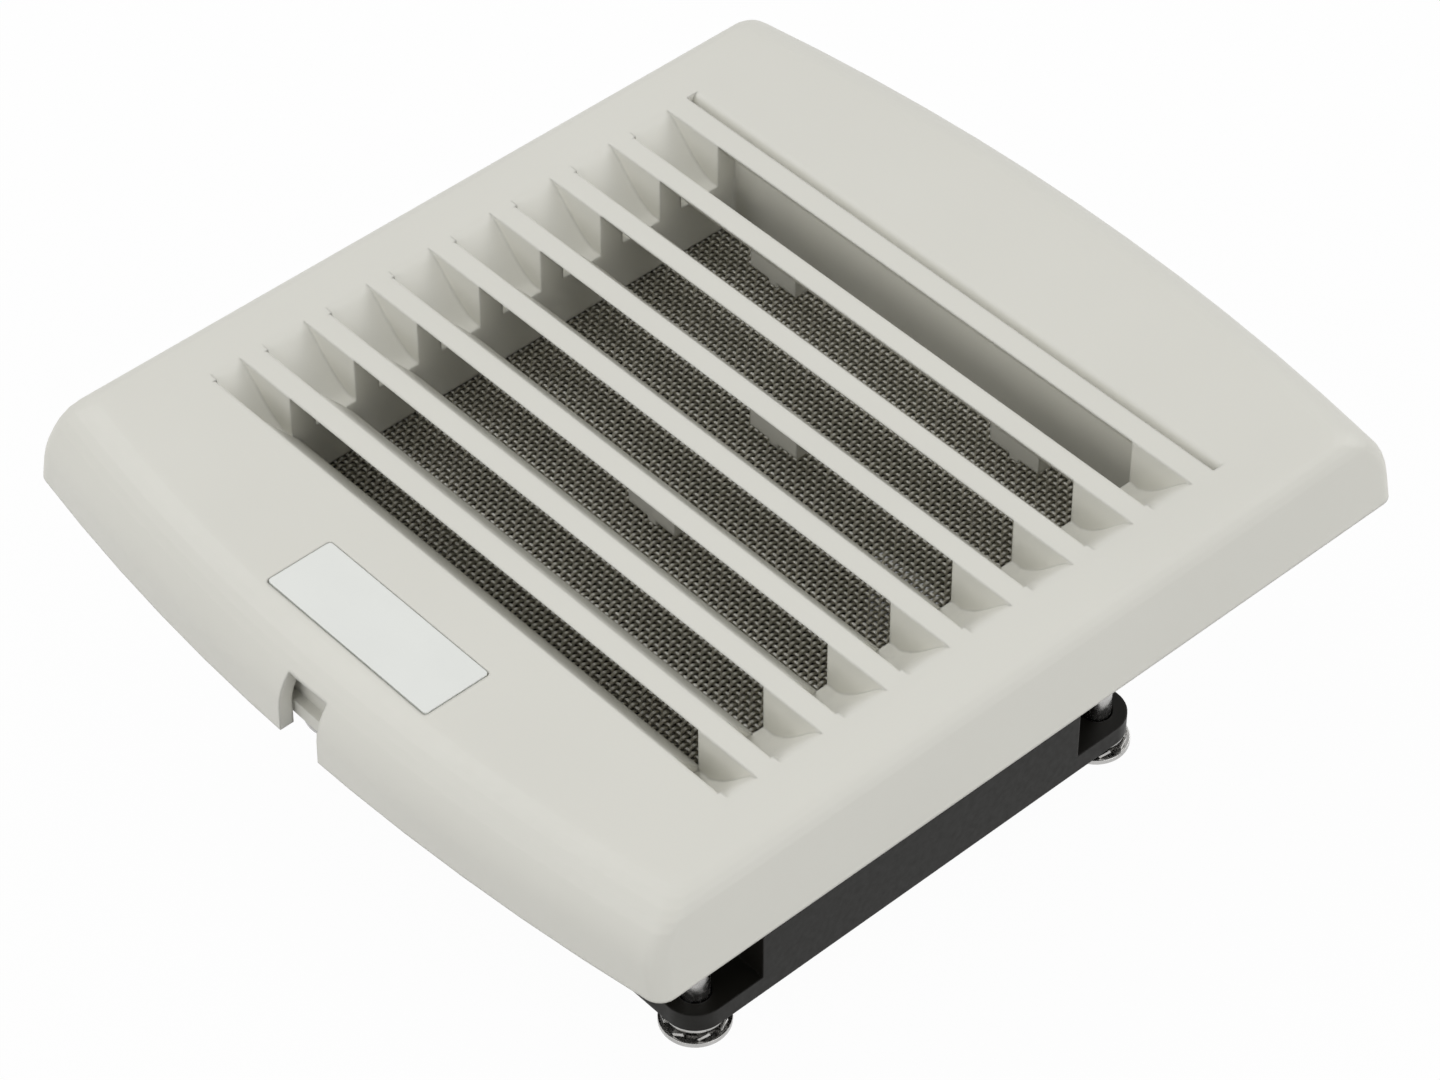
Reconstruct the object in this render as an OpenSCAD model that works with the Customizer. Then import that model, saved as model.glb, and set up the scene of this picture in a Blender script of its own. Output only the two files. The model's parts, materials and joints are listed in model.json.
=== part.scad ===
// Cabinet filter fan: a louvred cover over a base frame that clamps a woven filter mesh,
// with a square axial fan hung behind the panel on four long screws.
// Origin at the centre of the panel cut-out, on the panel's front face. +Z points out of the cabinet.

/* [Cover] */
// Width of the cover, along the slats
cover_w = 119.8; // [118:0.2:124]
// Length of the cover at mid-width, across the slats
cover_l = 134.8; // [133:0.2:142]
// Height of the cover's face above the panel
cover_h = 12; // [11.8:0.1:14]
// Wall thickness of the cover
cover_t = 2; // [1.6:0.1:2.4]
// How far the two ends bow outwards
end_bow = 5.2; // [3:0.1:7]
// Radius of the cover's corners in plan
corner_r = 2.5; // [2:0.1:5]
// Lean of the long sides from upright, in degrees
side_lean = 11; // [8:0.5:13]
// Radius of the crease along the long sides
side_crease_r = 3.5; // [3.2:0.1:4.5]
// Lean of the bowed ends from upright, in degrees
end_lean = 1.5; // [0.5:0.5:3]
// Radius of the soft roll along the bowed ends
end_crease_r = 8.3; // [7:0.1:8.5]
// Shadow gap between the cover's rim and the panel
rim_gap = 0.3; // [0.1:0.1:0.6]

/* [Louvres] */
// Number of slats
slat_n = 8; // [6:1:8]
// Distance from slat to slat
slat_pitch = 10.4; // [9.6:0.1:10.8]
// Width of a slat's top face
slat_w = 3.7; // [3:0.1:4.4]
// Lean of the slats from upright, in degrees
slat_lean = 36; // [30:1:40]
// Depth of the louvre block below the face
louvre_h = 8; // [7:0.1:8]
// Radius of the slats' soft edge
slat_soft = 0.8; // [0.4:0.1:1.2]
// Width of the last, narrow slot next to the label
last_slot_w = 4.6; // [3:0.1:6]
// Half length of the slots where they pass right through
slot_half = 38.5; // [35:0.25:39]
// Half length of the slots at the face, where their ramps start
ramp_half = 48.9; // [44:0.1:49.5]
// Thickness left under the foot of a ramp
ramp_edge = 0.7; // [0.5:0.1:1]
// Shift of the louvres along Y from the cut-out's centre
louvre_y = -0.8; // [-2:0.1:1]
// Width of the groove beside the first slat
groove_w = 1.3; // [0.6:0.05:1.5]
// Depth of the groove beside the first slat
groove_h = 2.4; // [1.6:0.1:3]
// Radius of the soft edge on the groove's far side
groove_soft = 0.8; // [0.4:0.1:1.2]
// Width of a peg
peg_w = 8.8; // [5:0.1:10]
// Thickness of a peg
peg_t = 3.6; // [2.4:0.1:4]
// Length of a peg below the louvres
peg_h = 2.9; // [1:0.1:3.5]
// How far the tooth in the middle of a peg's foot stands out
peg_tooth = 0.7; // [0.2:0.1:0.9]
// Width of the tooth on a peg's foot
peg_tooth_w = 1.6; // [0.8:0.1:3]
// Distance of the outer pegs from the middle
peg_x = 22.7; // [15:0.1:28]

/* [Label and notch] */
// Width of the label plate
badge_w = 30; // [20:1:36]
// Height of the label plate
badge_l = 9.8; // [7:0.1:11]
// Thickness of the label plate
badge_t = 0.6; // [0.5:0.1:1.2]
// How far the label plate is let into the face
badge_sink = 0.5; // [0.2:0.1:0.6]
// Distance from the cover's end to the middle of the label plate
badge_inset = 13; // [12:0.1:14]
// Width of the screwdriver notch
notch_w = 7.2; // [4:0.1:9]
// Material left above the notch
notch_top = 3; // [2:0.1:4]

/* [Base frame] */
// Wall of the spigot round the cover's collar
spigot_wall = 4.46; // [4:0.02:6]
// Clearance between the spigot and the panel cut-out, each side
cutout_gap = 0.5; // [0.3:0.1:1]
// Thickness of the panel gasket
gasket_t = 1.5; // [1:0.1:1.5]
// Thickness of the base flange
flange_t = 2.2; // [1.8:0.1:2.2]
// Thickness of the base's upright rim
rim_t = 1.6; // [1.2:0.1:1.8]
// Clearance between the cover and the base's rim
cover_gap = 0.4; // [0.3:0.1:0.6]
// Height of the base's rim above the panel
rim_top = 7.4; // [6:0.1:7.6]
// Distance of the spigot's rear face behind the panel
spigot_h = 10.2; // [9.6:0.1:11]
// Distance of the mesh seat behind the panel's front
mesh_depth = 3.9; // [3:0.1:4.5]
// Diameter of the air passage in the base
air_d = 66; // [56:1:67]
// Distance of the panel screws from the cover's long sides
panel_screw_side = 11.4; // [11:0.1:11.6]
// Distance of the panel screws from the cut-out, along Y
panel_screw_step = 5; // [4:0.1:5.5]
// Diameter of the panel screw holes
panel_hole_d = 4.4; // [3.4:0.1:4.6]

/* [Filter mesh] */
// Wire diameter
wire_d = 0.4; // [0.3:0.02:0.44]
// Clearance between the mesh and its seat's walls, each side
mesh_gap = 0.3; // [0.2:0.1:0.6]
// How far the mesh reaches under the cover's collar, each side
mesh_lap = 1.2; // [0.6:0.05:1.4]
// Clearance of the collar above the mesh
collar_lift = 0.3; // [0.2:0.1:0.6]
// Clearance of the collar in the base, each side
collar_gap = 0.5; // [0.3:0.1:0.8]

/* [Fan] */
// Fan screw spacing, both ways
fan_screw_pitch = 71.5; // [71:0.1:72]
// Distance of the fan screws from the fan's sides
fan_edge = 4.25; // [4:0.05:4.5]
// Depth of the fan housing
fan_h = 32; // [31.5:0.5:36]
// Wall between the duct and the fan's sides
duct_wall = 2; // [1.75:0.05:3]
// Thickness of the fan's two flanges
fan_flange_t = 3; // [2.4:0.1:4]
// Wall between the duct and the open corners, at its thinnest
corner_wall = 1.6; // [1.4:0.1:3]
// Corner radius of the fan housing
fan_corner_r = 4.5; // [3:0.5:6]
// Thickness of the motor plate behind the motor
motor_plate_t = 3; // [2.4:0.1:3.6]
// Running gap between the blade tips and the duct
tip_gap = 1.4; // [0.8:0.1:2]
// Number of blades
blade_n = 7; // [5:1:9]
// Twist of a blade over its height, in degrees
blade_twist = 42; // [30:1:50]

/* [Motor] */
// Shaft diameter
shaft_d = 4; // [3:0.1:5]
// Running clearance of the shaft in its bearings, on the radius
shaft_gap = 0.03; // [0.02:0.01:0.08]
// Outer diameter of the sleeve bearings
bearing_d = 9; // [8:0.1:9.6]
// Length of a sleeve bearing
bearing_l = 7; // [5:0.1:8]
// Outer diameter of the bearing tube
tube_d = 12; // [11:0.1:13]
// Outer diameter of the stator
stator_d = 30; // [28:0.1:30.4]
// Height of the stator's iron core
stator_h = 10; // [8:0.1:11]
// Air gap between the stator and the rotor, on the radius
air_gap = 0.5; // [0.4:0.05:0.8]
// Wall of the rotor shell around the stator
shell_t = 2.5; // [2:0.1:3]
// Wall of the impeller hub around the rotor shell
hub_t = 2; // [1.5:0.1:2.4]

/* [Fasteners] */
// Diameter of the fan screws
screw_d = 4; // [3:0.1:4.2]
// Clearance hole of the fan screws, in the fan and the washers
screw_hole_d = 4.4; // [4.3:0.1:4.6]
// Depth of the fan screws in the base
screw_grip = 4.2; // [3.4:0.1:4.4]
// Diameter of the screw heads
head_d = 7.2; // [7:0.1:8.6]
// Height of the screw heads
head_h = 2.2; // [2:0.1:3.4]
// Diameter of the thin washers
thin_washer_d = 8.2; // [7:0.1:8.6]
// Thickness of the thin washers
thin_washer_t = 0.6; // [0.5:0.1:1.2]
// Diameter of the toothed lock washers
lock_washer_d = 8.8; // [8:0.1:9]
// Thickness of the toothed lock washers
lock_washer_t = 1.2; // [0.8:0.1:1.6]
// Number of teeth on a lock washer
lock_teeth = 8; // [6:1:10]
// Diameter of the flat washers
flat_washer_d = 9.6; // [9:0.1:10]
// Thickness of the flat washers
flat_washer_t = 0.8; // [0.6:0.1:1.4]

/* [Hidden] */
$fn = 64;
cut = 1;
sliver = 0.02;
corner_steps = 6;
bow_steps = 12;
crease_steps = 9;
side_steps = 5;
ramp_steps = 8;

cover_colour = [0.82, 0.81, 0.77];
black_colour = [0.16, 0.16, 0.15];
steel_colour = [0.72, 0.72, 0.74];

// Cover heights and insets
cover_inner_h = cover_h - cover_t;
cover_skin = cover_t / cos(side_lean);
badge_r = 0.5;
badge_gap = 0.15;
badge_y = badge_inset - cover_l / 2;
louvre_z = cover_h - louvre_h;
notch_z = cover_h - notch_top;

// Louvre places: slat k's sharp edge faces the label
slot_w = slat_pitch - slat_w;
lean_run = louvre_h * tan(slat_lean);
first_edge = louvre_y + slat_pitch * (slat_n - 1) / 2;
last_edge = first_edge - slat_pitch * (slat_n - 1);
louvre_top_y = first_edge + slat_w + groove_w;
ramp_wall = cover_skin;
ramp_ease = 0.75;
soft_end = 1.4;
outer_peg_slat = 1;
mid_peg_slats = [3, 5];

// Mesh and the square shaft under the louvres, whose collar holds the mesh's edge
mesh_t = 2 * wire_d;
mesh_z = -mesh_depth;
mesh_top = mesh_z + mesh_t;
shaft_w = 2 * slot_half;
shaft_r = 0.5;
collar_w = shaft_w + 2 * ramp_wall;
collar_r = shaft_r + ramp_wall;
collar_z = mesh_top + collar_lift;
pocket_w = collar_w + 2 * collar_gap;
mesh_w = shaft_w + 2 * mesh_lap;
seat_w = mesh_w + 2 * mesh_gap;
seat_r = 3;

// Base heights and insets
base_inset = cover_skin + cover_gap;
base_shrink = cover_t + cover_gap;
gasket_edge = 0.8;
flange_z = gasket_t + flange_t;
spigot_w = pocket_w + 2 * spigot_wall;
spigot_r = 3;
cutout = spigot_w + 2 * cutout_gap;
panel_screw_x = cover_w / 2 - panel_screw_side;
panel_screw_y = cutout / 2 + panel_screw_step;

// Fan heights, from the base's rear face down
fan_top = -spigot_h;
fan_bottom = fan_top - fan_h;
screw_at = fan_screw_pitch / 2;
fan_w = fan_screw_pitch + 2 * fan_edge;
duct_d = fan_w - 2 * duct_wall;
corner_cut = fan_w / 2 - (duct_d / 2 + corner_wall) / sqrt(2);
plate_top = fan_bottom + motor_plate_t;
shell_d = stator_d + 2 * (air_gap + shell_t);
hub_d = shell_d + 2 * hub_t;
hub_margin = 4;
hub_top = fan_top - hub_margin;
rotor_gap = 1.5;
rotor_foot = plate_top + rotor_gap;
blade_r = duct_d / 2 - tip_gap;
blade_t = 1.8;
blade_drop = 1;
strut_h = 3;
strut_w = 4;
strut_gap = 4.5;
blade_foot = fan_bottom + strut_h + strut_gap;
plate_lip = 1;

// Motor heights
shell_top = hub_top - hub_t;
shell_disc_t = 1.5;
boss_h = 2.5;
boss_d = 8;
boss_foot = shell_top - shell_disc_t - boss_h;
thrust_t = 0.5;
play = 0.3;
tube_top = boss_foot - thrust_t - play;
insulator_t = 1;
coil_rise = 2;
stator_z = (tube_top + plate_top - stator_h) / 2;
shoe_t = 2.4;
neck_w = 6;
shoe_gap = 3;
core_t = 2;
core_d = tube_d + 2 * core_t;
coil_t = 2.5;
coil_gap = 0.5;
coil_w = neck_w + 2 * coil_t;
clip_t = 0.6;
clip_groove = 0.4;
shaft_end = 1;
clip_z = plate_top - play - clip_t;
clip_reach = 1.5;
clip_d = shaft_d + 2 * clip_reach;
pocket_gap = 0.8;
pocket_d = clip_d + 2 * pocket_gap;
disc_t = 0.4;
disc_edge = 3;
disc_d = hub_d - 2 * disc_edge;

// Terminal places, in the wall of the housing away from the label
terminal_y = 22;
terminal_w = 10;
terminal_l = 6;
terminal_h = 14;
terminal_rise = 3;
terminal_z = fan_bottom + fan_flange_t + terminal_rise;
tab_w = 2.8;
tab_t = 0.6;
tab_out = 4.6;
tab_in = 4;
tab_pitch = 5.2;

// Fits and drive of the fan screws
thread_gap = 0.05;
tip_room = 0.3;
head_taper = 2.8;
drive_w = 1;

// Stack under the fan, from its rear face down
thin_z = fan_bottom - thin_washer_t;
lock_z = thin_z - lock_washer_t;
flat_z = lock_z - flat_washer_t;
head_z = flat_z - head_h;
tooth_h = 1;
tooth_gap = 1.3;

// Points on an arc, both ends included
function arc(centre, r, from, to, steps) =
    [for (i = [0:steps]) let (a = from + (to - from) * i / steps) centre + r * [cos(a), sin(a)]];

// One bowed end of the plan outline, from its right corner to its left
function bowed_end(half_w, half_l, bow, r) =
    let (
        bow_r = (half_w * half_w + bow * bow) / (2 * bow),
        bow_y = half_l - bow_r,
        corner_x = half_w - r,
        corner_y = bow_y + sqrt((bow_r - r) * (bow_r - r) - corner_x * corner_x),
        turn = atan2(corner_y - bow_y, corner_x),
        step = (180 - 2 * turn) / bow_steps
    )
    concat(
        arc([corner_x, corner_y], r, 0, turn, corner_steps),
        arc([0, bow_y], bow_r, turn + step, 180 - turn - step, bow_steps - 2),
        arc([-corner_x, corner_y], r, 180 - turn, 180, corner_steps)
    );

// Closed plan outline with bowed ends, moved in along X and along Y
function plan(inset_x, inset_y) =
    let (end = bowed_end(cover_w / 2 - inset_x, cover_l / 2 - inset_y, end_bow, corner_r))
    concat(end, [for (p = end) -p]);

// How far in a leaning wall with a round crease has come at height z
function wall_inset(z, high, lean, crease) =
    let (
        centre_z = high - crease,
        centre_in = (crease + centre_z * sin(lean)) / cos(lean),
        rise = z - centre_z
    )
    rise <= crease * sin(lean) ? z * tan(lean) : centre_in - sqrt(max(crease * crease - rise * rise, 0));

// Heights of the points on a crease
function crease_heights(high, lean, crease, steps) =
    [for (i = [0:steps]) high - crease + crease * sin(lean + (90 - lean) * i / steps)];

// Plan outline at height z of the cover's form, shrunk on all sides
function form_plan(inset, z, shrink) =
    plan(inset + wall_inset(z, cover_h - shrink, side_lean, side_crease_r - shrink),
        inset + wall_inset(z, cover_h - shrink, end_lean, end_crease_r - shrink));

// Solid with the cover's outer form, shrunk on all sides, from height low up
module cover_form(inset, low, shrink) {
    high = cover_h - shrink;
    heights = concat([low], crease_heights(high, end_lean, end_crease_r - shrink, crease_steps),
        crease_heights(high, side_lean, side_crease_r - shrink, side_steps));
    hull()
        for (z = heights)
            translate([0, 0, z - (z > low ? sliver : 0)])
                linear_extrude(sliver)
                    polygon(form_plan(inset, max(z, 0), shrink));
}

// Rectangle with round corners
module round_rect(w, l, r) {
    square([w - 2 * r, l], center = true);
    square([w, l - 2 * r], center = true);
    for (x = [-1, 1], y = [-1, 1])
        translate([x * (w / 2 - r), y * (l / 2 - r)])
            circle(r);
}

// Copies a child to the four corners of a rectangle
module at_corners(x, y) {
    for (i = [-1, 1], j = [-1, 1])
        translate([i * x, j * y, 0])
            children();
}

// Ring with a through hole, standing on height z
module ring(z, h, outer_d, inner_d) {
    translate([0, 0, z])
        linear_extrude(h)
            difference() {
                circle(d = outer_d);
                circle(d = inner_d);
            }
}

// Extrudes a YZ outline along X, over the half length given
module along_x(half) {
    translate([-half, 0, 0])
        rotate([90, 0, 90])
            linear_extrude(2 * half)
                children();
}

// YZ outline of one slot that follows the slats' lean from the sharp edge at y, inside the shaft's far wall
module slot_outline(y, w) {
    run = (louvre_h + cut) * tan(slat_lean);
    intersection() {
        polygon([[y, cover_h], [y, cover_h + cut], [y - w, cover_h + cut], [y - w, cover_h - slat_soft],
            [y - w + run, louvre_z - cut], [y + run, louvre_z - cut]]);
        translate([-cover_l, 0])
            square([cover_l + shaft_w / 2, cover_h + 2 * cut]);
    }
}

// YZ outline of what the soft edge of a slat loses, beside the slot that starts at y
module soft_outline(y) {
    polygon(concat([[y, cover_h + cut], [y - slat_soft, cover_h + cut]],
        arc([y - slat_soft, cover_h - slat_soft], slat_soft, 90, 0, 4)));
}

// Share of its depth that a ramp has lost at share t of its length: a scoop with soft ends
function ramp_drop(t) = (1 - cos(180 * pow(t, ramp_ease))) / 2;

// Ramped pockets at both ends of a slot
module slot_ramps(y, w) {
    ramp_h = louvre_h - ramp_edge;
    curve = [for (i = [0:ramp_steps]) let (t = i / ramp_steps)
        [ramp_half - (ramp_half - slot_half) * t, cover_h - ramp_h * ramp_drop(t)]];
    for (side = [0, 1])
        mirror([side, 0, 0])
            translate([0, y, 0])
                rotate([90, 0, 0])
                    linear_extrude(w)
                        polygon(concat([[slot_half - sliver, cover_h + cut], [ramp_half, cover_h + cut]],
                            curve, [[slot_half - sliver, cover_h - ramp_h]]));
}

// YZ outline of a peg of the length given, with its root inside the leaning slat
module peg_outline(y, h) {
    root = cut * tan(slat_lean);
    polygon([[y, louvre_z - h], [y + peg_t, louvre_z - h], [y + peg_t, louvre_z],
        [y + peg_t - root, louvre_z + cut], [y, louvre_z + cut]]);
}

// One peg under the slat whose sharp edge is at y, with a small tooth on its foot
module peg(x, y) {
    peg_y = y + lean_run + (slat_w - peg_t) / 2;
    translate([x, 0, 0]) {
        along_x(peg_w / 2)
            peg_outline(peg_y, peg_h);
        along_x(peg_tooth_w / 2)
            peg_outline(peg_y, peg_h + peg_tooth);
    }
}

// YZ outline of the groove beside the first slat: a steep far wall with a soft edge
module groove_outline() {
    low_y = louvre_top_y - groove_w;
    soft_y = louvre_top_y + groove_soft;
    polygon(concat([[low_y, cover_h - groove_h], [low_y, cover_h + cut], [soft_y, cover_h + cut]],
        arc([soft_y, cover_h - groove_soft], groove_soft, 90, 150, 4),
        [[low_y + groove_w / 3, cover_h - groove_h]]));
}

// Louvre block before its slots are cut: a trough with leaning ends
module louvre_block() {
    low_y = last_edge - last_slot_w - cover_t;
    high_y = louvre_top_y + lean_run;
    translate([0, high_y, 0])
        rotate([90, 0, 0])
            linear_extrude(high_y - low_y)
                polygon([[-slot_half - ramp_wall, louvre_z], [slot_half + ramp_wall, louvre_z],
                    [ramp_half, cover_inner_h + cut / 2], [-ramp_half, cover_inner_h + cut / 2]]);
}

// Collar under the louvres: a square shaft that leads down to the mesh's edge
module collar() {
    translate([0, 0, collar_z])
        linear_extrude(louvre_z + cut - collar_z)
            difference() {
                round_rect(collar_w, collar_w, collar_r);
                round_rect(shaft_w, shaft_w, shaft_r);
            }
}

module cover_grille() {
    color(cover_colour) {
        difference() {
            union() {
                difference() {
                    cover_form(0, rim_gap, 0);
                    cover_form(cover_skin, rim_gap - cut, cover_t);
                }
                louvre_block();
            }
            for (k = [0:slat_n - 1]) {
                edge = first_edge - k * slat_pitch;
                w = k < slat_n - 1 ? slot_w : last_slot_w;
                along_x(slot_half)
                    slot_outline(edge, w);
                slot_ramps(edge, w);
                along_x(ramp_half - soft_end)
                    soft_outline(edge - w);
            }
            along_x(ramp_half)
                groove_outline();
            translate([-notch_w / 2, -cover_l / 2 - cut, rim_gap - cut])
                cube([notch_w, end_crease_r + cut, notch_z - rim_gap + cut]);
            translate([0, badge_y, cover_h - badge_sink])
                linear_extrude(badge_sink + cut)
                    round_rect(badge_w + 2 * badge_gap, badge_l + 2 * badge_gap, badge_r);
        }
        collar();
        for (x = [-peg_x, peg_x])
            peg(x, first_edge - outer_peg_slat * slat_pitch);
        for (k = mid_peg_slats)
            peg(0, first_edge - k * slat_pitch);
    }
}

module badge_plate() {
    color([0.87, 0.88, 0.86])
        translate([0, badge_y, cover_h - badge_sink])
            linear_extrude(badge_t)
                round_rect(badge_w, badge_l, badge_r);
}

module base_frame() {
    color(cover_colour)
        difference() {
            union() {
                translate([0, 0, gasket_t])
                    linear_extrude(flange_t)
                        polygon(form_plan(base_inset, flange_z, base_shrink));
                translate([0, 0, gasket_t])
                    linear_extrude(rim_top - gasket_t)
                        difference() {
                            polygon(form_plan(base_inset, rim_top, base_shrink));
                            polygon(form_plan(base_inset + rim_t, rim_top, base_shrink));
                        }
                translate([0, 0, -spigot_h])
                    linear_extrude(spigot_h + flange_z)
                        round_rect(spigot_w, spigot_w, spigot_r);
            }
            translate([0, 0, mesh_z])
                linear_extrude(mesh_t + cut)
                    round_rect(seat_w, seat_w, seat_r);
            translate([0, 0, mesh_top])
                linear_extrude(flange_z - mesh_top + cut)
                    round_rect(pocket_w, pocket_w, collar_r + collar_gap);
            translate([0, 0, -spigot_h - cut])
                cylinder(d = air_d, h = spigot_h + flange_z + 2 * cut);
            at_corners(screw_at, screw_at)
                translate([0, 0, -spigot_h - cut])
                    cylinder(d = screw_d + 2 * thread_gap, h = screw_grip + cut + tip_room);
            at_corners(panel_screw_x, panel_screw_y)
                translate([0, 0, gasket_t - cut])
                    cylinder(d = panel_hole_d, h = flange_t + 2 * cut);
        }
}

module panel_gasket() {
    color([0.2, 0.2, 0.2])
        difference() {
            linear_extrude(gasket_t)
                polygon(form_plan(base_inset + gasket_edge, flange_z, base_shrink));
            translate([0, 0, -cut])
                linear_extrude(gasket_t + 2 * cut)
                    round_rect(cutout, cutout, spigot_r);
            at_corners(panel_screw_x, panel_screw_y)
                translate([0, 0, -cut])
                    cylinder(d = panel_hole_d, h = gasket_t + 2 * cut);
        }
}

module filter_mesh() {
    color([0.24, 0.23, 0.21])
        translate([0, 0, mesh_z])
            linear_extrude(mesh_t)
                round_rect(mesh_w, mesh_w, seat_r);
}

module fan_housing() {
    color(black_colour)
        difference() {
            union() {
                difference() {
                    translate([0, 0, fan_bottom])
                        linear_extrude(fan_h)
                            round_rect(fan_w, fan_w, fan_corner_r);
                    translate([0, 0, fan_bottom - cut])
                        cylinder(d = duct_d, h = fan_h + 2 * cut);
                    at_corners(fan_w / 2, fan_w / 2)
                        translate([0, 0, (fan_top + fan_bottom) / 2])
                            cube([2 * corner_cut, 2 * corner_cut, fan_h - 2 * fan_flange_t], center = true);
                }
                translate([0, 0, fan_bottom])
                    cylinder(d = hub_d + 2 * plate_lip, h = motor_plate_t);
                for (turn = [45:90:315])
                    rotate(turn)
                        translate([disc_d / 2 + plate_lip, -strut_w / 2, fan_bottom])
                            cube([duct_d / 2 - disc_d / 2, strut_w, strut_h]);
            }
            at_corners(screw_at, screw_at)
                translate([0, 0, fan_bottom - cut])
                    cylinder(d = screw_hole_d, h = fan_h + 2 * cut);
            translate([0, 0, fan_bottom - cut])
                cylinder(d = pocket_d, h = motor_plate_t + 2 * cut);
            translate([0, 0, fan_bottom - cut])
                cylinder(d = disc_d, h = disc_t + cut);
            translate([-fan_w / 2 - cut, terminal_y - terminal_w / 2, terminal_z])
                cube([terminal_l + cut, terminal_w, terminal_h]);
        }
}

module fan_screws() {
    color(steel_colour)
        at_corners(screw_at, screw_at) {
            translate([0, 0, flat_z])
                cylinder(d = screw_d, h = fan_top + screw_grip - flat_z);
            translate([0, 0, head_z])
                difference() {
                    cylinder(d1 = head_d - head_taper, d2 = head_d, h = head_h);
                    for (turn = [0, 90])
                        rotate(turn)
                            translate([-head_d / 4, -drive_w / 2, -cut])
                                cube([head_d / 2, drive_w, cut + head_h / 2]);
                }
        }
}

module thin_washers() {
    color(steel_colour)
        at_corners(screw_at, screw_at)
            ring(thin_z, thin_washer_t, thin_washer_d, screw_hole_d);
}

module lock_washers() {
    color(steel_colour)
        at_corners(screw_at, screw_at)
            translate([0, 0, lock_z])
                linear_extrude(lock_washer_t)
                    difference() {
                        circle(d = lock_washer_d);
                        circle(d = screw_hole_d);
                        for (i = [0:lock_teeth - 1])
                            rotate(i * 360 / lock_teeth)
                                translate([lock_washer_d / 2, 0])
                                    square([2 * tooth_h, tooth_gap], center = true);
                    }
}

module flat_washers() {
    color(steel_colour)
        at_corners(screw_at, screw_at)
            ring(flat_z, flat_washer_t, flat_washer_d, screw_hole_d);
}

// One blade: a thin strip from inside the hub's wall to the tip, twisted over its height
module blade() {
    blade_h = hub_top - blade_drop - blade_foot;
    translate([0, 0, blade_foot])
        linear_extrude(blade_h, twist = blade_twist, slices = 8, segments = 4)
            translate([hub_d / 2 - hub_t / 2, -blade_t / 2])
                square([blade_r - hub_d / 2 + hub_t / 2, blade_t]);
}

module impeller() {
    color([0.13, 0.13, 0.13]) {
        difference() {
            translate([0, 0, rotor_foot])
                cylinder(d = hub_d, h = hub_top - rotor_foot);
            translate([0, 0, rotor_foot - cut])
                cylinder(d = shell_d, h = shell_top - rotor_foot + cut);
        }
        for (i = [0:blade_n - 1])
            rotate(i * 360 / blade_n)
                blade();
    }
}

module rotor_shell() {
    bore_d = stator_d + 2 * air_gap;
    color([0.5, 0.5, 0.52])
        difference() {
            union() {
                difference() {
                    translate([0, 0, rotor_foot])
                        cylinder(d = shell_d, h = shell_top - rotor_foot);
                    translate([0, 0, rotor_foot - cut])
                        cylinder(d = bore_d, h = shell_top - shell_disc_t - rotor_foot + cut);
                }
                translate([0, 0, boss_foot])
                    cylinder(d = boss_d, h = boss_h + shell_disc_t / 2);
            }
            translate([0, 0, boss_foot - cut])
                cylinder(d = shaft_d, h = boss_h + shell_disc_t + 2 * cut);
        }
}

module rotor_shaft() {
    color(steel_colour)
        difference() {
            translate([0, 0, clip_z - shaft_end])
                cylinder(d = shaft_d, h = shell_top - clip_z + shaft_end);
            ring(clip_z, clip_t, shaft_d + 2 * cut, shaft_d - 2 * clip_groove);
        }
}

module shaft_clip() {
    color([0.35, 0.35, 0.36])
        translate([0, 0, clip_z])
            linear_extrude(clip_t)
                difference() {
                    circle(d = clip_d);
                    circle(d = shaft_d - 2 * clip_groove);
                    translate([0, -shaft_d / 4])
                        square([clip_d, shaft_d / 2]);
                }
}

module thrust_washer() {
    color([0.85, 0.83, 0.7])
        ring(boss_foot - thrust_t, thrust_t, boss_d - thrust_t, shaft_d);
}

module bearing_tube() {
    color([0.78, 0.68, 0.4])
        ring(plate_top, tube_top - plate_top, tube_d, bearing_d);
}

module front_bearing() {
    color([0.66, 0.5, 0.3])
        ring(tube_top - bearing_l, bearing_l, bearing_d, shaft_d + 2 * shaft_gap);
}

module rear_bearing() {
    color([0.66, 0.5, 0.3])
        ring(plate_top, bearing_l, bearing_d, shaft_d + 2 * shaft_gap);
}

// Plan of the stator's iron: a ring, four necks and four pole shoes
module stator_outline() {
    difference() {
        union() {
            circle(d = core_d);
            difference() {
                circle(d = stator_d);
                circle(d = stator_d - 2 * shoe_t);
                for (turn = [45, 135])
                    rotate(turn)
                        square([stator_d + cut, shoe_gap], center = true);
            }
            for (turn = [0, 90])
                rotate(turn)
                    square([stator_d - shoe_t, neck_w], center = true);
        }
        circle(d = tube_d);
    }
}

module stator_core() {
    color([0.42, 0.42, 0.44])
        translate([0, 0, stator_z])
            linear_extrude(stator_h)
                stator_outline();
}

module upper_insulator() {
    color([0.9, 0.88, 0.8])
        translate([0, 0, stator_z + stator_h])
            linear_extrude(insulator_t)
                stator_outline();
}

module lower_insulator() {
    color([0.9, 0.88, 0.8])
        translate([0, 0, stator_z - insulator_t])
            linear_extrude(insulator_t)
                stator_outline();
}

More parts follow.
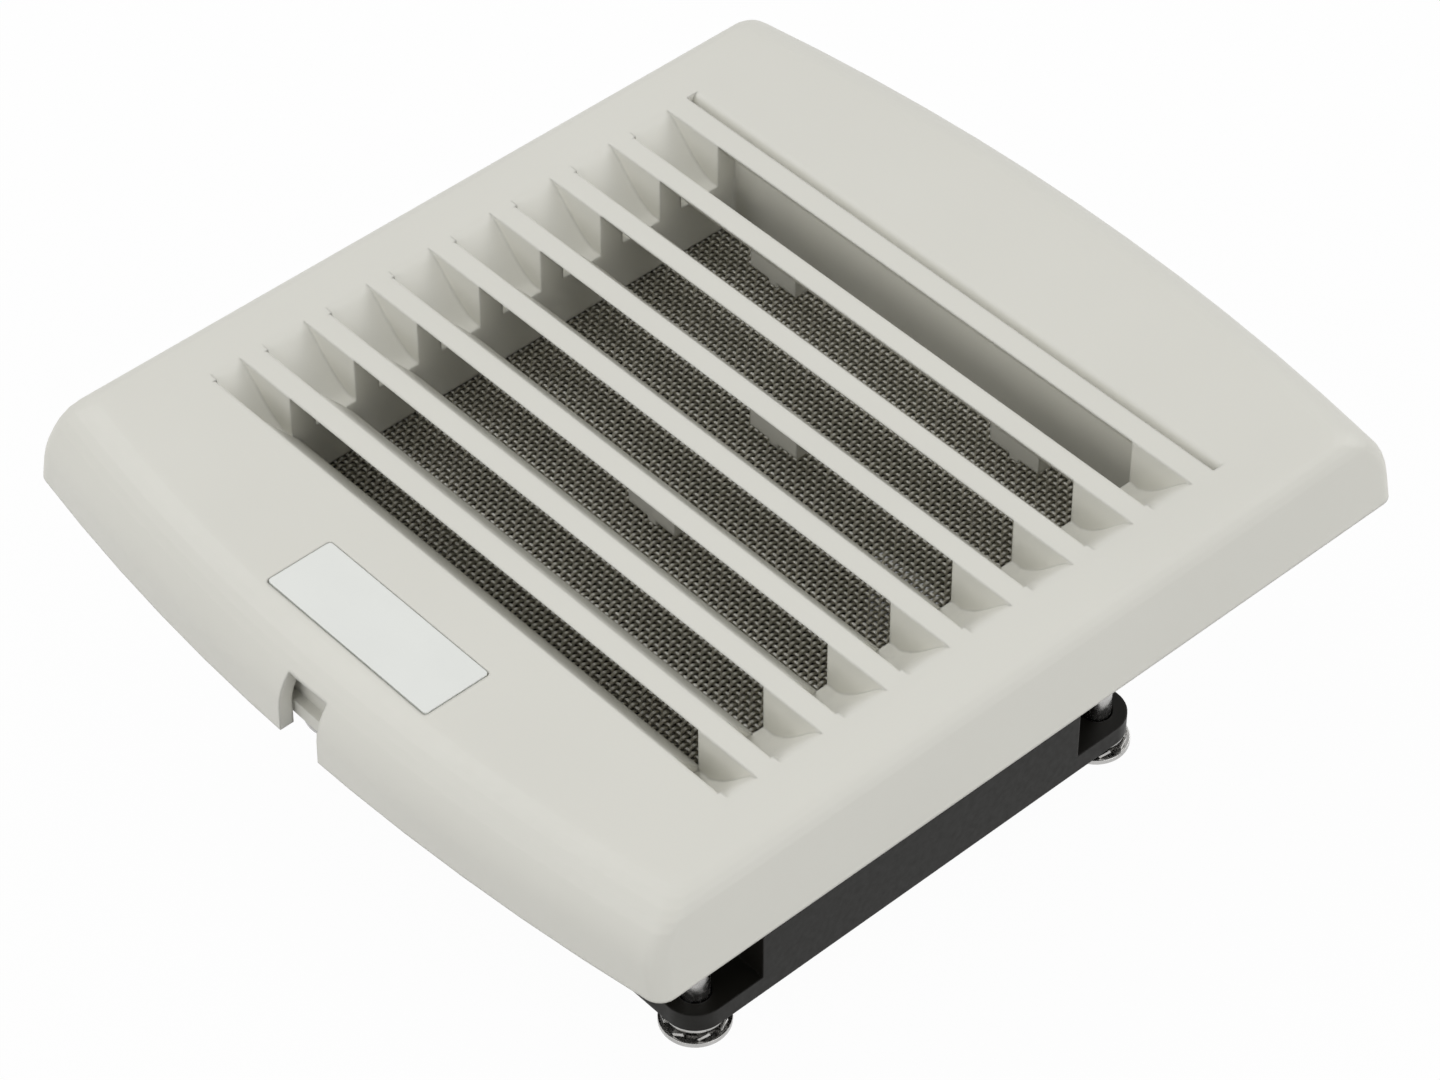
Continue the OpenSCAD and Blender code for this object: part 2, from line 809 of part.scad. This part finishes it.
module stator_coils() {
    coil_h = stator_h + 2 * (insulator_t + coil_rise);
    coil_in = core_d / 2 + coil_gap;
    coil_out = stator_d / 2 - shoe_t - coil_gap;
    color([0.72, 0.4, 0.2])
        for (turn = [0:90:270])
            rotate(turn)
                difference() {
                    translate([0, 0, stator_z - insulator_t - coil_rise])
                        linear_extrude(coil_h)
                            intersection() {
                                translate([coil_in, -coil_w / 2])
                                    square([coil_out, coil_w]);
                                circle(coil_out);
                            }
                    translate([0, -neck_w / 2, stator_z - insulator_t])
                        cube([stator_d, neck_w, stator_h + 2 * insulator_t]);
                }
}

module terminal_block() {
    color([0.2, 0.2, 0.2])
        difference() {
            translate([-fan_w / 2, terminal_y - terminal_w / 2, terminal_z])
                cube([terminal_l, terminal_w, terminal_h]);
            for (y = [-1, 1])
                translate([-fan_w / 2 - cut, terminal_y + y * tab_pitch / 2 - tab_t / 2,
                    terminal_z + terminal_h / 2 - tab_w / 2])
                    cube([tab_in + cut, tab_t, tab_w]);
        }
}

module terminal_tabs() {
    color(steel_colour)
        for (y = [-1, 1])
            translate([-fan_w / 2 - tab_out, terminal_y + y * tab_pitch / 2 - tab_t / 2,
                terminal_z + terminal_h / 2 - tab_w / 2])
                cube([tab_in + tab_out, tab_t, tab_w]);
}

module motor_disc() {
    color([0.8, 0.8, 0.8])
        translate([0, 0, fan_bottom])
            cylinder(d = disc_d, h = disc_t);
}

cover_grille();
badge_plate();
base_frame();
panel_gasket();
filter_mesh();
fan_housing();
fan_screws();
thin_washers();
lock_washers();
flat_washers();
impeller();
rotor_shell();
rotor_shaft();
shaft_clip();
thrust_washer();
bearing_tube();
front_bearing();
rear_bearing();
stator_core();
upper_insulator();
lower_insulator();
stator_coils();
terminal_block();
terminal_tabs();
motor_disc();
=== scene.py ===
"""Cabinet filter fan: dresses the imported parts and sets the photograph's view."""
import json
import math

import bpy
import numpy as np
from mathutils import Matrix, Vector


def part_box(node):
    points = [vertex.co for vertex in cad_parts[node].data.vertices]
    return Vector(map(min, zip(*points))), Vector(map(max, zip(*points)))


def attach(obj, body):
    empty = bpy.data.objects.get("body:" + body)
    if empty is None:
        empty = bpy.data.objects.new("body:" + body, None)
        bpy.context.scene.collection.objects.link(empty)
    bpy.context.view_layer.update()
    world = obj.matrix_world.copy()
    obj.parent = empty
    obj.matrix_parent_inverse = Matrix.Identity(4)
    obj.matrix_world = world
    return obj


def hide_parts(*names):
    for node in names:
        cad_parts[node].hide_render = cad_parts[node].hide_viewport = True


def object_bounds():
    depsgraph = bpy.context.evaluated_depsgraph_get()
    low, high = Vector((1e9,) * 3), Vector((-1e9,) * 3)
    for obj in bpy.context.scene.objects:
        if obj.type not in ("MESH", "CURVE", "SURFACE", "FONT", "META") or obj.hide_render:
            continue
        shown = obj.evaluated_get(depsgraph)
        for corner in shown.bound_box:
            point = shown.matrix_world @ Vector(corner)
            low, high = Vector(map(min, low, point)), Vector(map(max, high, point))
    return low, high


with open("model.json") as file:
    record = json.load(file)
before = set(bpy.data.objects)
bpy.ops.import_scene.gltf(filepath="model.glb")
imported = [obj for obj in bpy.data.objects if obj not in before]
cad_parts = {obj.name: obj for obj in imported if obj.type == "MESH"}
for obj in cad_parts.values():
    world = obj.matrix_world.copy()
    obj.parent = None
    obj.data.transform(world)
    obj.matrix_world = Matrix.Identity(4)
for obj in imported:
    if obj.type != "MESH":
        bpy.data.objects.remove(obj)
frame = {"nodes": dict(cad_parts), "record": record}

CAD_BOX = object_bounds()
NODES = frame["nodes"]
MM = 0.001

# Camera of the photograph, solved from the ends of the slats
CAMERA_AT = Vector((0.323553, -0.289534, 0.421947))
CAMERA_RIGHT = Vector((0.670838, 0.741594, -0.003723))
CAMERA_DOWN = Vector((0.521122, -0.474961, -0.709114))
CAMERA_AHEAD = Vector((-0.527643, 0.473761, -0.705084))
CAMERA_LENS = 118.993
SENSOR_W = 36.0


def linear(rgb):
    """sRGB bytes as linear colour."""
    out = []
    for v in rgb:
        c = v / 255
        out.append(c / 12.92 if c <= 0.04045 else ((c + 0.055) / 1.055) ** 2.4)
    return out


# Depths below the mesh's top where the painted highlight on the knuckle tops starts and is full, as shares of
# its thickness
KNUCKLE_HIGHLIGHT = (0.2, 0.1)
# Metallic and roughness values of the wires, dull and under the painted highlight on the knuckle tops
WIRE_METAL = (0.3, 0.0)
WIRE_ROUGH = (0.45, 0.3)
# Share of the noise's range that a varied roughness spans
NOISE_SPAN = (0.3, 0.7)
BEVEL_SAMPLES = 6


class Surface:
    """A procedural material with small helpers for its nodes."""

    def __init__(self, name, rgb, rough, metal=0.0, specular=0.5):
        self.mat = bpy.data.materials.new(name)
        self.mat.use_nodes = True
        self.tree = self.mat.node_tree
        self.bsdf = self.tree.nodes["Principled BSDF"]
        self.rgb = linear(rgb)
        self.bsdf.inputs["Base Color"].default_value = (*self.rgb, 1)
        self.bsdf.inputs["Roughness"].default_value = rough
        self.bsdf.inputs["Metallic"].default_value = metal
        self.bsdf.inputs["Specular IOR Level"].default_value = specular
        self.coords = self.tree.nodes.new("ShaderNodeTexCoord").outputs["Object"]

    def new(self, kind, **values):
        node = self.tree.nodes.new(kind)
        for key, value in values.items():
            setattr(node, key, value)
        return node

    def link(self, a, b):
        self.tree.links.new(a, b)

    def noise(self, scale, detail=2.0):
        node = self.new("ShaderNodeTexNoise")
        node.inputs["Scale"].default_value = scale
        node.inputs["Detail"].default_value = detail
        self.link(self.coords, node.inputs["Vector"])
        return node.outputs["Fac"]

    def between(self, fac, span, ends):
        """A factor's span mapped onto two end values."""
        node = self.new("ShaderNodeMapRange")
        node.inputs["From Min"].default_value, node.inputs["From Max"].default_value = span
        node.inputs["To Min"].default_value, node.inputs["To Max"].default_value = ends
        self.link(fac, node.inputs["Value"])
        return node.outputs["Result"]

    def ramp(self, fac, low, high, a=0.35, b=0.65):
        """Colour ramp between two linear colours over the middle of a factor."""
        node = self.new("ShaderNodeValToRGB")
        node.color_ramp.elements[0].position = a
        node.color_ramp.elements[1].position = b
        node.color_ramp.elements[0].color = (*low, 1)
        node.color_ramp.elements[1].color = (*high, 1)
        self.link(fac, node.inputs["Fac"])
        return node.outputs["Color"]

    def mottle(self, scale, amount):
        """Base colour that drifts a little over the surface."""
        low = [c * (1 - amount) for c in self.rgb]
        high = [min(c * (1 + amount), 1) for c in self.rgb]
        self.link(self.ramp(self.noise(scale, 3.0), low, high), self.bsdf.inputs["Base Color"])

    def rough(self, scale, low, high):
        """Roughness that varies between two values."""
        self.link(self.between(self.noise(scale), NOISE_SPAN, (low, high)), self.bsdf.inputs["Roughness"])

    def relief(self, heights, edge=0.0):
        """Bump from a list of (factor, strength, depth), over edges softened by a radius."""
        normal = None
        if edge:
            soft = self.new("ShaderNodeBevel", samples=BEVEL_SAMPLES)
            soft.inputs["Radius"].default_value = edge
            normal = soft.outputs["Normal"]
        for fac, strength, depth in heights:
            bump = self.new("ShaderNodeBump")
            bump.inputs["Strength"].default_value = strength
            bump.inputs["Distance"].default_value = depth
            self.link(fac, bump.inputs["Height"])
            if normal:
                self.link(normal, bump.inputs["Normal"])
            normal = bump.outputs["Normal"]
        self.link(normal, self.bsdf.inputs["Normal"])

    def layers(self, scale):
        """Bands stacked along Z."""
        node = self.new("ShaderNodeTexWave", wave_type="BANDS", bands_direction="Z")
        node.inputs["Scale"].default_value = scale
        self.link(self.coords, node.inputs["Vector"])
        return node.outputs["Fac"]


def moulded(name, rgb, rough, edge, grain=0.06, specular=0.4):
    """Plastic with a fine grain and softened edges."""
    s = Surface(name, rgb, rough, specular=specular)
    s.mottle(28, 0.012)
    s.rough(900, rough - 0.05, rough + 0.05)
    s.relief([(s.noise(2600, 3.0), grain, 0.00006), (s.noise(60, 1.0), 0.02, 0.0004)], edge)
    return s


def bright_metal(name, rgb, rough):
    """Bare metal, a little uneven."""
    s = Surface(name, rgb, rough, metal=1.0)
    s.mottle(400, 0.08)
    s.rough(1500, rough - 0.06, rough + 0.08)
    s.relief([(s.noise(5000), 0.05, 0.00003)], 0.0001)
    return s


def wire_steel(name, dark, highlight_rgb):
    """Dull wire with a painted highlight, a near-white colour, on its tops where it crosses over."""
    s = Surface(name, dark, WIRE_ROUGH[0])
    low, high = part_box("filter_mesh")
    span = high.z - low.z
    parts = s.new("ShaderNodeSeparateXYZ")
    s.link(s.coords, parts.inputs["Vector"])
    # Painted highlight: the base colour turns near white over the top of each crossing, standing in for the
    # glint of light there
    painted_highlight = s.between(parts.outputs["Z"], [high.z - share * span for share in KNUCKLE_HIGHLIGHT], (0, 1))
    s.link(s.ramp(painted_highlight, s.rgb, linear(highlight_rgb), 0, 1), s.bsdf.inputs["Base Color"])
    s.link(s.between(painted_highlight, (0, 1), WIRE_METAL), s.bsdf.inputs["Metallic"])
    s.link(s.between(painted_highlight, (0, 1), WIRE_ROUGH), s.bsdf.inputs["Roughness"])
    return s


def make_materials():
    """One material for each slot of the record."""
    out = {}
    out["cover_plastic"] = moulded("cover_plastic", (217, 216, 208), 0.46, 0.0006)
    out["base_plastic"] = moulded("base_plastic", (208, 207, 199), 0.5, 0.0003)

    s = Surface("label_plate", (229, 231, 227), 0.32)
    s.mottle(90, 0.01)
    s.rough(1200, 0.28, 0.38)
    s.relief([(s.noise(3500), 0.03, 0.00003)], 0.00015)
    out["label_plate"] = s

    s = Surface("gasket_foam", (36, 36, 35), 0.9, specular=0.2)
    s.mottle(700, 0.35)
    s.relief([(s.noise(1700, 4.0), 0.6, 0.0002)])
    out["gasket_foam"] = s

    # The second colour is the painted highlight on the knuckle tops
    out["mesh_wire"] = wire_steel("mesh_wire", (160, 156, 142), (255, 254, 249))

    out["fan_plastic"] = moulded("fan_plastic", (22, 21, 18), 0.44, 0.0003, 0.05, 0.15)
    out["screw_steel"] = bright_metal("screw_steel", (182, 181, 179), 0.24)
    out["rotor_steel"] = bright_metal("rotor_steel", (160, 160, 163), 0.32)
    out["bearing_bronze"] = bright_metal("bearing_bronze", (176, 140, 92), 0.4)
    out["tab_metal"] = bright_metal("tab_metal", (206, 200, 182), 0.28)

    s = Surface("stator_iron", (96, 97, 100), 0.5, metal=0.9)
    s.relief([(s.layers(1000), 0.5, 0.0001)])
    s.mottle(500, 0.2)
    out["stator_iron"] = s

    out["insulator_plastic"] = moulded("insulator_plastic", (224, 220, 204), 0.5, 0.0001)

    s = Surface("coil_wire", (176, 96, 52), 0.3, metal=0.9)
    s.relief([(s.layers(1250), 0.8, 0.00015)])
    s.mottle(900, 0.18)
    out["coil_wire"] = s

    s = Surface("rear_foil", (206, 207, 208), 0.35, metal=0.6)
    s.mottle(200, 0.04)
    s.rough(700, 0.3, 0.42)
    s.relief([(s.noise(900), 0.05, 0.0001)])
    out["rear_foil"] = s
    return {k: v.mat for k, v in out.items()}


MATERIALS = make_materials()
SLOT_OF = {row["node"]: row["material_slot"] for row in frame["record"]["subparts"]}


def paint(obj, slot):
    obj.data.materials.clear()
    obj.data.materials.append(MATERIALS[slot])


def crisp(obj, angle):
    """Keeps the edges that are sharper than an angle crisp on a smooth piece."""
    mod = obj.modifiers.new("crisp", "EDGE_SPLIT")
    mod.use_edge_sharp = False
    mod.split_angle = angle


# Finish of the nodes that show as they are
WELD = 0.03 * MM
BEVEL_ANGLE = math.radians(32)
SPLIT_ANGLE = math.radians(36)
NORMAL_WEIGHT = 80
BEVELS = {
    "badge_plate": 0.08 * MM, "fan_housing": 0.25 * MM, "fan_screws": 0.12 * MM, "thin_washers": 0.1 * MM,
    "flat_washers": 0.15 * MM, "terminal_block": 0.2 * MM, "terminal_tabs": 0.1 * MM, "motor_disc": 0.08 * MM,
}


def smooth(obj, bevel):
    """Smooth shading with crisp edges, by modifiers and normals only."""
    mesh = obj.data
    if "custom_normal" in mesh.attributes:
        mesh.attributes.remove(mesh.attributes["custom_normal"])
    mesh.polygons.foreach_set("use_smooth", [True] * len(mesh.polygons))
    mod = obj.modifiers.new("weld", "WELD")
    mod.merge_threshold = WELD
    if bevel:
        mod = obj.modifiers.new("bevel", "BEVEL")
        mod.width = bevel
        mod.segments = 2
        mod.limit_method = "ANGLE"
        mod.angle_limit = BEVEL_ANGLE
    crisp(obj, SPLIT_ANGLE)
    mod = obj.modifiers.new("even", "WEIGHTED_NORMAL")
    mod.mode = "FACE_AREA"
    mod.weight = NORMAL_WEIGHT


def dress_nodes():
    """Paints and smooths every node."""
    for name, obj in NODES.items():
        paint(obj, SLOT_OF[name])
        smooth(obj, BEVELS.get(name, 0.0))


def piece(name, verts, faces, slot, body, node):
    """A smooth mesh that rides on a body and stands in for a node."""
    mesh = bpy.data.meshes.new(name)
    mesh.from_pydata([tuple(v) for v in verts], [], [tuple(f) for f in faces])
    mesh.update()
    mesh.polygons.foreach_set("use_smooth", [True] * len(mesh.polygons))
    obj = bpy.data.objects.new(name, mesh)
    bpy.context.scene.collection.objects.link(obj)
    paint(obj, slot)
    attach(obj, body)
    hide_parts(node)
    return obj


def skin(rows, first=0):
    """Quads between rows of points that each close on themselves."""
    count = len(rows[0])
    faces = []
    for i in range(len(rows) - 1):
        low = first + i * count
        high = low + count
        for k in range(count):
            n = (k + 1) % count
            faces.append((low + k, low + n, high + n, high + k))
    return faces


def lathe(profile, sides):
    """Rows of points of a turned form, one row for each point of its profile."""
    turns = np.arange(sides) * 2 * math.pi / sides
    return [[(r * math.cos(a), r * math.sin(a), z) for a in turns] for r, z in profile]


def arc(centre, r, start, stop, steps=6):
    """Profile points on an arc, angles in degrees."""
    turns = np.radians(np.linspace(start, stop, steps + 1))
    return [(centre[0] + r * math.cos(a), centre[1] + r * math.sin(a)) for a in turns]


# Woven filter mesh: the wires along X are crimped more, those along Y are pressed flatter
WEAVE_PITCH = (0.92 * MM, 0.98 * MM)
WIRE_SIDES = 6
STEPS_PER_PITCH = 4
SHORTEST_WIRE_STEPS = 8
CRIMP = (1.15, 0.85)
FLAT = (1.3, 1.8)
MESH_CORNER_R = 3 * MM


def wire_limit(half, across):
    """Half length of a wire at a distance from the mesh's middle, inside the round corners."""
    over = abs(across) - (half - MESH_CORNER_R)
    if over <= 0:
        return half
    return half - MESH_CORNER_R + math.sqrt(max(MESH_CORNER_R ** 2 - over ** 2, 0))


def wire_places(half, wire_r, pitch):
    """Places of the wires across the mesh, even about its middle."""
    count = int(2 * (half - wire_r) / pitch)
    return (np.arange(count) - (count - 1) / 2) * pitch


def wire(axis, across, side, start, limit, wire_r, mid):
    """Rows of points round one wavy wire along an axis."""
    pitch = WEAVE_PITCH[axis]
    crimp = side * CRIMP[axis] * wire_r
    steps = max(int(2 * limit / pitch * STEPS_PER_PITCH), SHORTEST_WIRE_STEPS)
    along = np.linspace(-limit, limit, steps + 1)
    phase = math.pi * (along - start) / pitch
    slope = -crimp * np.sin(phase) * math.pi / pitch
    length = np.sqrt(1 + slope ** 2)
    turns = np.arange(WIRE_SIDES) * 2 * math.pi / WIRE_SIDES
    lift = np.sin(turns)[None, :] * wire_r
    rows = np.empty((steps + 1, WIRE_SIDES, 3))
    rows[:, :, axis] = along[:, None] - lift * (slope / length)[:, None]
    rows[:, :, 1 - axis] = across + np.cos(turns)[None, :] * wire_r * FLAT[axis]
    rows[:, :, 2] = (mid + crimp * np.cos(phase))[:, None] + lift / length[:, None]
    return rows if axis == 0 else rows[:, ::-1]


def weave():
    """The mesh as wires that pass over and under each other."""
    low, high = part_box("filter_mesh")
    half = (high.x - low.x) / 2
    wire_r = (high.z - low.z) / 2 / (1 + CRIMP[0])
    mid = (high.z + low.z) / 2
    verts, faces = [], []
    for axis in (0, 1):
        start = wire_places(half, wire_r * FLAT[1 - axis], WEAVE_PITCH[axis])[0]
        for j, across in enumerate(wire_places(half, wire_r * FLAT[axis], WEAVE_PITCH[1 - axis])):
            side = 1 if (j + axis) % 2 == 0 else -1
            rows = wire(axis, across, side, start, wire_limit(half, across), wire_r, mid)
            faces += skin(rows, len(verts))
            verts += rows.reshape(-1, 3).tolist()
    piece("woven_mesh", verts, faces, "mesh_wire", "filter", "filter_mesh")


# Impeller
BLADES = 7
BLADE_TWIST = math.radians(42)
BLADE_T = 1.8 * MM
BLADE_RISE = 3 * MM
BLADE_DROP = 1 * MM
HUB_WALL = 2 * MM
HUB_FILLET = 1.2 * MM
HUB_STEP_R = 12.5 * MM
HUB_STEP_H = 0.4 * MM
HUB_SIDES = 96
HUB_CRISP = math.radians(40)
BLADE_POINTS = 15
BLADE_SECTIONS = 9
BLADE_EDGE_SHARE = 0.3
BLADE_FULLNESS = 0.7
AXIS_R = 0.01 * MM


def blade_loop(r, low, high, first):
    """Closed section of a blade at a radius, thick in the middle and thin at its edges."""
    share = np.linspace(0, 1, BLADE_POINTS)
    bulge = np.sin(math.pi * share) ** BLADE_FULLNESS
    half_t = BLADE_T / 2 * (BLADE_EDGE_SHARE + (1 - BLADE_EDGE_SHARE) * bulge)
    run = BLADE_TWIST * r
    span = math.hypot(run, high - low)
    points = []
    for side in (1, -1):
        turns = first - BLADE_TWIST * share + side * half_t * (high - low) / span / r
        rises = np.clip(low + (high - low) * share + side * half_t * run / span, low, high)
        points.append([(r * math.cos(a), r * math.sin(a), z) for a, z in zip(turns, rises)])
    return points[0] + points[1][::-1]


def hub_rows(hub_r, low_z, high_z):
    """The hub: a cup with a round edge and a sunk middle on its closed end."""
    inner_r = hub_r - HUB_WALL
    step_z = high_z - HUB_STEP_H
    profile = [(AXIS_R, high_z - HUB_WALL), (inner_r, high_z - HUB_WALL), (inner_r, low_z), (hub_r, low_z)]
    profile += arc((hub_r - HUB_FILLET, high_z - HUB_FILLET), HUB_FILLET, 0, 90)
    profile += [(HUB_STEP_R, high_z), (HUB_STEP_R, step_z), (AXIS_R, step_z)]
    return lathe(profile, HUB_SIDES)


def impeller():
    """The hub with its shaped blades."""
    low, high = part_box("impeller")
    tip_r = (high.x - low.x) / 2
    shell_low, shell_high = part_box("rotor_shell")
    hub_r = (shell_high.x - shell_low.x) / 2 + HUB_WALL
    rows = hub_rows(hub_r, low.z, high.z)
    faces = skin(rows)
    verts = [p for row in rows for p in row]
    radii = np.linspace(hub_r - HUB_WALL / 2, tip_r, BLADE_SECTIONS)
    for i in range(BLADES):
        first = 2 * math.pi * i / BLADES
        loops = [blade_loop(r, low.z + BLADE_RISE, high.z - BLADE_DROP, first) for r in radii]
        base = len(verts)
        count = len(loops[0])
        faces += skin(loops, base)
        faces.append([base + (len(loops) - 1) * count + k for k in range(count)])
        verts += [p for loop in loops for p in loop]
    crisp(piece("bladed_impeller", verts, faces, "fan_plastic", "rotor", "impeller"), HUB_CRISP)


# Toothed lock washers under the fan
SCREW_AT = 35.75 * MM
TEETH = 8
TOOTH_T = 0.45 * MM
TOOTH_SHARE = 0.5
TOOTH_TILT = math.radians(26)
TOOTH_PHASE = math.radians(18)
LOCK_BORE_R = 2.2 * MM
LOCK_ROOT_R = 3.2 * MM
LOCK_SIDES = 48
LOCK_CRISP = math.radians(30)
TOOTH_SECTIONS = 5


def tooth_loop(share, tip_r, turn, mid):
    """Section across a tooth, more tilted towards its tip."""
    r = LOCK_ROOT_R - TOOTH_T + (tip_r - LOCK_ROOT_R + TOOTH_T) * share
    tilt = TOOTH_TILT * share
    half_w = TOOTH_SHARE * math.pi * r / TEETH
    loop = []
    for a, b in ((-1, -1), (1, -1), (1, 1), (-1, 1)):
        side = a * half_w * math.cos(tilt) - b * TOOTH_T / 2 * math.sin(tilt)
        rise = a * half_w * math.sin(tilt) + b * TOOTH_T / 2 * math.cos(tilt)
        loop.append((r * math.cos(turn) - side * math.sin(turn), r * math.sin(turn) + side * math.cos(turn),
                     mid + rise))
    return loop


def lock_washer(tip_r, mid):
    """Points and faces of one washer about the Z axis: a flat ring with twisted teeth."""
    low_z, high_z = mid - TOOTH_T / 2, mid + TOOTH_T / 2
    section = [(LOCK_BORE_R, low_z), (LOCK_ROOT_R, low_z), (LOCK_ROOT_R, high_z), (LOCK_BORE_R, high_z)]
    rows = lathe(section + section[:1], LOCK_SIDES)
    faces = skin(rows)
    verts = [p for row in rows for p in row]
    for i in range(TEETH):
        turn = TOOTH_PHASE + 2 * math.pi * i / TEETH
        loops = [tooth_loop(share, tip_r, turn, mid) for share in np.linspace(0, 1, TOOTH_SECTIONS)]
        base = len(verts)
        faces += skin(loops, base)
        count = len(loops[0])
        faces.append([base + (TOOTH_SECTIONS - 1) * count + k for k in range(count)])
        verts += [p for loop in loops for p in loop]
    return verts, faces


def lock_washers():
    """Four washers, one under each corner of the fan."""
    low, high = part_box("lock_washers")
    one_verts, one_faces = lock_washer(high.x - SCREW_AT, (low.z + high.z) / 2)
    verts, faces = [], []
    for x in (-SCREW_AT, SCREW_AT):
        for y in (-SCREW_AT, SCREW_AT):
            faces += [[len(verts) + k for k in face] for face in one_faces]
            verts += [(x + p[0], y + p[1], p[2]) for p in one_verts]
    crisp(piece("toothed_washers", verts, faces, "screw_steel", "base", "lock_washers"), LOCK_CRISP)


# Place and radius of the floor under the fan that is left in the fan's own shadow
SHADE_AT = (-3.5 * MM, 3.2 * MM)
SHADE_R = 38 * MM
SHADE_EDGE = 1 * MM
FLOOR_HALF = 3.0
FLOOR_GREY = 0.8
# Share of the floor's white that the camera sees, the rest is lit and shaded
FLOOR_WHITE = 0.97
# World strength for the light on the object, and where the world itself is seen
WORLD = (0.3, 1.0)
# Lamps: name, place, size, watts
LAMPS = (
    ("right", (0.95, 0.15, 0.45), (0.8, 0.6), 3.6),
    ("left", (-0.65, -0.25, 0.95), (0.7, 0.7), 4.8),
    ("near", (-0.1, -0.95, 0.6), (0.8, 0.6), 3.4),
    ("far", (0.1, 0.95, 0.6), (0.8, 0.6), 3.2),
)


def stage_floor():
    """Plain pale floor that reads as white to the camera and keeps the object's shadow."""
    z = CAD_BOX[0][2]
    corners = [(x * FLOOR_HALF, y * FLOOR_HALF, z) for x, y in ((-1, -1), (1, -1), (1, 1), (-1, 1))]
    mesh = bpy.data.meshes.new("floor")
    mesh.from_pydata(corners, [], [(0, 1, 2, 3)])
    obj = bpy.data.objects.new("floor", mesh)
    bpy.context.scene.collection.objects.link(obj)
    mat = bpy.data.materials.new("floor_white")
    mat.use_nodes = True
    tree = mat.node_tree
    tree.nodes.clear()
    out = tree.nodes.new("ShaderNodeOutputMaterial")
    diffuse = tree.nodes.new("ShaderNodeBsdfDiffuse")
    diffuse.inputs["Color"].default_value = (FLOOR_GREY, FLOOR_GREY, FLOOR_GREY, 1)
    glow = tree.nodes.new("ShaderNodeEmission")
    glow.inputs["Color"].default_value = (1, 1, 1, 1)
    mix = tree.nodes.new("ShaderNodeMixShader")
    share = tree.nodes.new("ShaderNodeMath")
    share.operation = "MULTIPLY"
    tree.links.new(seen_rays(tree, FLOOR_WHITE), share.inputs[0])
    tree.links.new(outside_shade(tree), share.inputs[1])
    tree.links.new(share.outputs["Value"], mix.inputs["Fac"])
    tree.links.new(diffuse.outputs["BSDF"], mix.inputs[1])
    tree.links.new(glow.outputs["Emission"], mix.inputs[2])
    tree.links.new(mix.outputs["Shader"], out.inputs["Surface"])
    mesh.materials.append(mat)


def outside_shade(tree):
    """1 on the open floor, 0 right under the fan."""
    coords = tree.nodes.new("ShaderNodeTexCoord")
    away = tree.nodes.new("ShaderNodeVectorMath")
    away.operation = "DISTANCE"
    away.inputs[1].default_value = (*SHADE_AT, CAD_BOX[0][2])
    tree.links.new(coords.outputs["Object"], away.inputs[0])
    fade = tree.nodes.new("ShaderNodeMapRange")
    fade.inputs["From Min"].default_value = SHADE_R
    fade.inputs["From Max"].default_value = SHADE_R + SHADE_EDGE
    tree.links.new(away.outputs["Value"], fade.inputs["Value"])
    return fade.outputs["Result"]


def seen_rays(tree, share):
    """Share for camera, glossy and transmission rays, 0 for the rest."""
    path = tree.nodes.new("ShaderNodeLightPath")
    first = tree.nodes.new("ShaderNodeMath")
    first.operation = "MAXIMUM"
    tree.links.new(path.outputs["Is Camera Ray"], first.inputs[0])
    tree.links.new(path.outputs["Is Glossy Ray"], first.inputs[1])
    second = tree.nodes.new("ShaderNodeMath")
    second.operation = "MAXIMUM"
    tree.links.new(first.outputs["Value"], second.inputs[0])
    tree.links.new(path.outputs["Is Transmission Ray"], second.inputs[1])
    scaled = tree.nodes.new("ShaderNodeMath")
    scaled.operation = "MULTIPLY"
    scaled.inputs[1].default_value = share
    tree.links.new(second.outputs["Value"], scaled.inputs[0])
    return scaled.outputs["Value"]


def light(name, at, size, watts):
    """A soft lamp that faces the part."""
    lamp = bpy.data.lights.new(name, "AREA")
    lamp.shape = "RECTANGLE"
    lamp.size, lamp.size_y = size
    lamp.energy = watts
    obj = bpy.data.objects.new(name, lamp)
    obj.matrix_world = Matrix.Translation(at) @ Vector(at).to_track_quat("Z", "Y").to_matrix().to_4x4()
    bpy.context.scene.collection.objects.link(obj)


def set_view():
    """World, lamps and the photograph's camera."""
    scene = bpy.context.scene
    scene.view_settings.view_transform = "Standard"
    world = bpy.data.worlds.new("studio")
    scene.world = world
    world.use_nodes = True
    tree = world.node_tree
    back = tree.nodes["Background"]
    back.inputs["Color"].default_value = (1, 1, 1, 1)
    strength = tree.nodes.new("ShaderNodeMapRange")
    strength.inputs["To Min"].default_value, strength.inputs["To Max"].default_value = WORLD
    tree.links.new(seen_rays(tree, 1.0), strength.inputs["Value"])
    tree.links.new(strength.outputs["Result"], back.inputs["Strength"])
    for lamp in LAMPS:
        light(*lamp)
    cam = bpy.data.cameras.new("camera")
    cam.sensor_fit = "HORIZONTAL"
    cam.sensor_width = SENSOR_W
    cam.lens = CAMERA_LENS
    cam.clip_start = 0.01
    obj = bpy.data.objects.new("camera", cam)
    rows = Matrix((CAMERA_RIGHT, -CAMERA_DOWN, -CAMERA_AHEAD)).transposed()
    obj.matrix_world = Matrix.Translation(CAMERA_AT) @ rows.to_4x4()
    scene.collection.objects.link(obj)
    scene.camera = obj


def main():
    dress_nodes()
    weave()
    impeller()
    lock_washers()
    stage_floor()
    set_view()


main()
